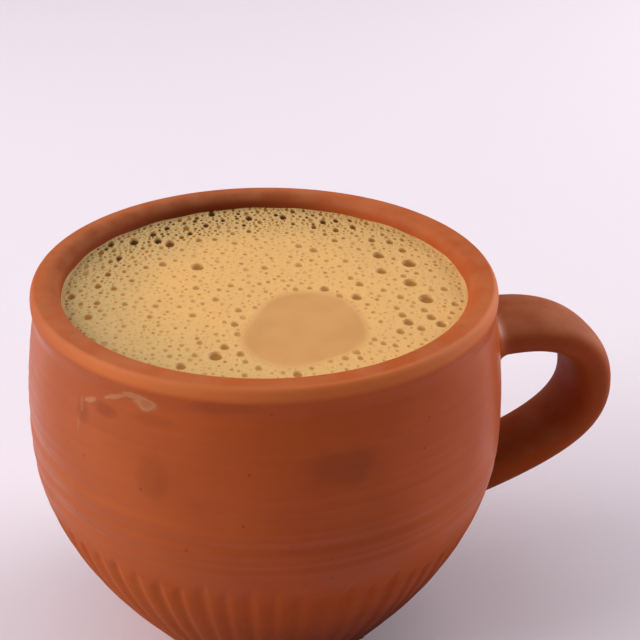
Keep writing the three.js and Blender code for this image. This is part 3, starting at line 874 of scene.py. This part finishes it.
    # Grain, and gloss: matt flutes, the far inner lip under painted shade, handle and lip's top
    grain = add("TexNoise", {"Vector": place, "Scale": 1 / GRAIN_SPACING, "Detail": 3})
    grain = add("Math", (grain, 0.25), operation="MULTIPLY")
    relief = add("Math", (streaks, 0.3, grain), operation="MULTIPLY_ADD")
    bump = add("Bump", {"Height": relief, "Strength": 0.2, "Distance": 0.12 * MM})
    gloss = add("TexNoise", {"Vector": place, "Scale": 1 / SMUDGE_SPACING, "Detail": 4})
    gloss = add("MapRange", (gloss, 0.3, 0.7, *CLAY_ROUGHNESS), **SMOOTH)
    for matt in (
        add("MapRange", (wavy, 34, 48, FLUTE_ROUGHNESS, 0.3), **SMOOTH),
        add("MapRange", (far_lip_shade, 0, 0.4, 0.3, FAR_LIP_ROUGHNESS), **SMOOTH),
        add("Math", (on_handle, HANDLE_ROUGHNESS), operation="MULTIPLY"),
        add("MapRange", (height, CUP_TOP - 4.5, CUP_TOP - 2, 0.3, LIP_ROUGHNESS), **SMOOTH),
    ):
        gloss = add("Math", (gloss, matt), operation="MAXIMUM")
    clay = add("BsdfPrincipled", {
        "Base Color": colour, "Roughness": gloss, "Normal": bump, "IOR": CLAY_IOR,
        "Specular IOR Level": CLAY_GLEAM,
    })
    add("OutputMaterial", (clay,))
    return material


def tea_colour(add, place, froth):
    """The tea's colour, a little uneven as the milk drifts in it."""
    tone = add("TexNoise", {"Vector": place, "Scale": 1 / DRIFT_SPACING, "Detail": 2})
    tone = add("MapRange", (tone, 0.3, 0.7, 0.95, 1.04), **SMOOTH)
    grey = add("CombineColor", (tone, tone, tone))
    return add("Mix", {0: 1, 6: froth.tea, 7: grey}, 2, blend_type="MULTIPLY", **COLOURS)


def milk_foam(froth):
    """Milk foam: fine closed bubbles that scatter light, so it is matte, pale and even.

    Open bubbles show the tea through a thin wet film, darker than the foam round them. Painted shade
    darkens their deepest parts and the bubbles and foam towards the far wall, and a painted shadow
    line runs along the near wall.
    """
    material, add, place = new_material("milk_foam")
    film, foamy, dry = [add("Attribute", out="Fac", attribute_name=name) for name in ("film", "foamy", "dry")]
    blotch = add("TexNoise", {"Vector": place, "Scale": 1 / DRIFT_SPACING, "Detail": 3})
    blotch = add("MapRange", (blotch, 0.3, 0.7, 0, 0.15), **SMOOTH)
    # Dry foam, with painted shade towards the far-left wall, and random blotches
    coarse = add("Math", (dry, blotch), operation="ADD", use_clamp=True)
    cells = add("TexVoronoi", {"Vector": place, "Scale": 1 / CELL_SPACING, "Randomness": 1})
    dots = add("MapRange", (cells, 0.1, 0.4, 1, 0), **SMOOTH)
    dot_strength = add("Math", (dry, 0.3, 0.2), operation="MULTIPLY_ADD")
    dots = add("Math", (dots, dot_strength), operation="MULTIPLY")
    thin = add("MapRange", (film, 0, 0.6), **SMOOTH)
    pit = add("MapRange", (film, 0.45, 1.05), **SMOOTH)
    colour = froth.foam
    for share, tint in (
        (coarse, froth.foam_dry_and_shaded), (dots, froth.film), (thin, froth.film), (pit, froth.deep)
    ):
        colour = add("Mix", {0: share, 6: colour, 7: tint}, 2, **COLOURS)
    colour = add("Mix", {0: foamy, 6: tea_colour(add, place, froth), 7: colour}, 2, **COLOURS)
    height = add("MapRange", (cells, 0, 0.4), **SMOOTH)
    height = add("Math", (height, foamy), operation="MULTIPLY")
    bump = add("Bump", {"Height": height, "Strength": 0.25, "Distance": 0.08 * MM})
    wet = add("MapRange", (foamy, 0, 1, TEA_ROUGHNESS, FOAM_ROUGHNESS), **SMOOTH)
    foam = add("BsdfPrincipled", {
        "Base Color": colour, "Roughness": wet, "Normal": bump, "IOR": WATER_IOR,
        "Specular IOR Level": LIQUID_GLEAM,
    })
    add("OutputMaterial", (foam,))
    return material


def milky_tea(froth):
    """Milky tea: an opaque liquid, boiled and poured, whose smooth wet skin gleams softly."""
    material, add, place = new_material("milky_tea")
    tea = add("BsdfPrincipled", {
        "Base Color": tea_colour(add, place, froth), "Roughness": TEA_ROUGHNESS, "IOR": WATER_IOR,
        "Specular IOR Level": LIQUID_GLEAM,
    })
    add("OutputMaterial", (tea,))
    return material


def backdrop_paper(stage):
    """Photographer's paper: uncoated and matte, so it takes the light evenly and has no gleam."""
    material, add, _ = new_material("backdrop_paper")
    add("OutputMaterial", (add("BsdfPrincipled", {"Base Color": stage.paper, "Roughness": PAPER_ROUGHNESS}),))
    return material


# Operators


class CHAI_OT_cup(bpy.types.Operator):
    """Make the clay cup with its handle as one solid"""

    bl_idname = "chai.cup"
    bl_label = "Clay cup"

    def execute(self, context):
        cup, handle = context.scene.chai_cup, context.scene.chai_handle
        piece = make_object("clay_cup", bowl_mesh(cup))
        join_solids(piece, make_object("handle_strap", handle_mesh(cup, handle)))
        piece.data.polygons.foreach_set("use_smooth", np.ones(len(piece.data.polygons), bool))
        piece.data.materials.clear()
        piece.data.materials.append(terracotta(cup))
        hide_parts("cup")
        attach(piece, BODY)
        return {"FINISHED"}


class CHAI_OT_tea(bpy.types.Operator):
    """Make the tea, which fills the bowl and shows in the bare patch"""

    bl_idname = "chai.tea"
    bl_label = "Tea"

    def execute(self, context):
        cup, froth = context.scene.chai_cup, context.scene.chai_froth
        piece = make_object("tea_body", tea_mesh(froth, cup))
        piece.data.materials.append(milky_tea(froth))
        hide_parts("tea")
        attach(piece, BODY)
        return {"FINISHED"}


class CHAI_OT_froth(bpy.types.Operator):
    """Make the foam with its open bubbles"""

    bl_idname = "chai.froth"
    bl_label = "Froth"

    def execute(self, context):
        scene = context.scene
        piece = make_object("froth_layer", froth_mesh(scene.chai_froth, scene.chai_cup, scene.chai_stage))
        piece.data.materials.append(milk_foam(scene.chai_froth))
        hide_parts("froth")
        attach(piece, BODY)
        return {"FINISHED"}


def camera_matrix(stage):
    """Camera's place and turn. It stands off the cup's near side, a little to the handle's back."""
    p, y, r = stage.pitch, stage.yaw, stage.roll
    ahead = Vector((math.sin(y) * math.cos(p), math.cos(y) * math.cos(p), -math.sin(p)))
    level = Vector((math.cos(y), -math.sin(y), 0))
    up = level.cross(ahead)
    right = level * math.cos(r) + up * math.sin(r)
    top = up * math.cos(r) - level * math.sin(r)
    turned = Matrix((right, top, -ahead)).transposed().to_4x4()
    turned.translation = Vector((0, -stage.distance, stage.height))
    return Matrix.Rotation(-stage.turn, 4, "Z") @ turned


def soft_box(name, place, target, size, power):
    """A square white lamp at place that faces target."""
    lamp = bpy.data.lights.new(name, "AREA")
    lamp.shape = "RECTANGLE"
    lamp.size, lamp.size_y = size
    lamp.energy = power
    obj = make_object(name, lamp)
    obj.location = place
    obj.rotation_euler = (Vector(target) - Vector(place)).to_track_quat("-Z", "Y").to_euler()
    return obj


def backdrop_mesh():
    """A floor that sweeps up into a wall all round the cup, in metres."""
    turn = np.radians(np.linspace(0, 90, 24))
    flat, bend, wall_top, sides = 2.2, 0.5, 1.4, 96
    outline = [(0.2, 0), (0.6, 0), (flat, 0)]
    outline += [(flat + bend * math.sin(t), bend * (1 - math.cos(t))) for t in turn[1:]]
    outline.append((flat + bend, wall_top))
    angle = np.arange(sides) * 2 * math.pi / sides
    points = [(0, 0, 0)]
    for radius, height in outline:
        points += [(radius * math.cos(a), radius * math.sin(a), height) for a in angle]
    faces = [[0, 1 + i, 1 + (i + 1) % sides] for i in range(sides)]
    for k in range(len(outline) - 1):
        for i in range(sides):
            j = (i + 1) % sides
            a, b = 1 + k * sides, 1 + (k + 1) * sides
            faces.append([a + i, b + i, b + j, a + j])
    mesh = bpy.data.meshes.new("floor")
    mesh.from_pydata(points, [], faces)
    mesh.polygons.foreach_set("use_smooth", np.ones(len(mesh.polygons), bool))
    return mesh


class CHAI_OT_stage(bpy.types.Operator):
    """Set up the floor, the soft studio light and the camera"""

    bl_idname = "chai.stage"
    bl_label = "Stage"

    def execute(self, context):
        scene = context.scene
        stage = scene.chai_stage
        floor = make_object("floor", backdrop_mesh())
        floor.data.materials.append(backdrop_paper(stage))
        for lamp in LAMPS:
            soft_box(*lamp)
        world = bpy.data.worlds.new("studio")
        world.use_nodes = True
        background = world.node_tree.nodes["Background"]
        background.inputs["Color"].default_value = (*stage.paper, 1)
        background.inputs["Strength"].default_value = ROOM_LIGHT
        scene.world = world
        scene.view_settings.view_transform = "Standard"
        lens = bpy.data.cameras.new("camera")
        lens.lens = stage.focal_length
        lens.sensor_width = SENSOR
        lens.clip_start = 0.01
        camera = make_object("camera", lens)
        camera.matrix_world = camera_matrix(stage)
        scene.camera = camera
        return {"FINISHED"}


class CHAI_PT_panel(bpy.types.Panel):
    """Buttons and settings for the cup of chai"""

    bl_label = "Masala Chai"
    bl_idname = "CHAI_PT_panel"
    bl_space_type = "VIEW_3D"
    bl_region_type = "UI"
    bl_category = "Chai"

    def draw(self, context):
        for operator in PIECES:
            self.layout.operator(operator.bl_idname)
        for name in GROUPS:
            box = self.layout.box()
            settings = getattr(context.scene, name)
            for key in settings.bl_rna.properties.keys():
                if key not in ("rna_type", "name"):
                    box.prop(settings, key)


PIECES = (CHAI_OT_stage, CHAI_OT_cup, CHAI_OT_tea, CHAI_OT_froth)
GROUPS = {
    "chai_cup": CupSettings,
    "chai_handle": HandleSettings,
    "chai_froth": FrothSettings,
    "chai_stage": StageSettings,
}
CLASSES = (*GROUPS.values(), *PIECES, CHAI_PT_panel)


def register():
    for cls in CLASSES:
        bpy.utils.register_class(cls)
    for name, cls in GROUPS.items():
        setattr(bpy.types.Scene, name, PointerProperty(type=cls))


def unregister():
    for name in GROUPS:
        delattr(bpy.types.Scene, name)
    for cls in reversed(CLASSES):
        bpy.utils.unregister_class(cls)


def main():
    register()
    bpy.ops.chai.stage()
    bpy.ops.chai.cup()
    bpy.ops.chai.tea()
    bpy.ops.chai.froth()


if __name__ == "__main__":
    main()
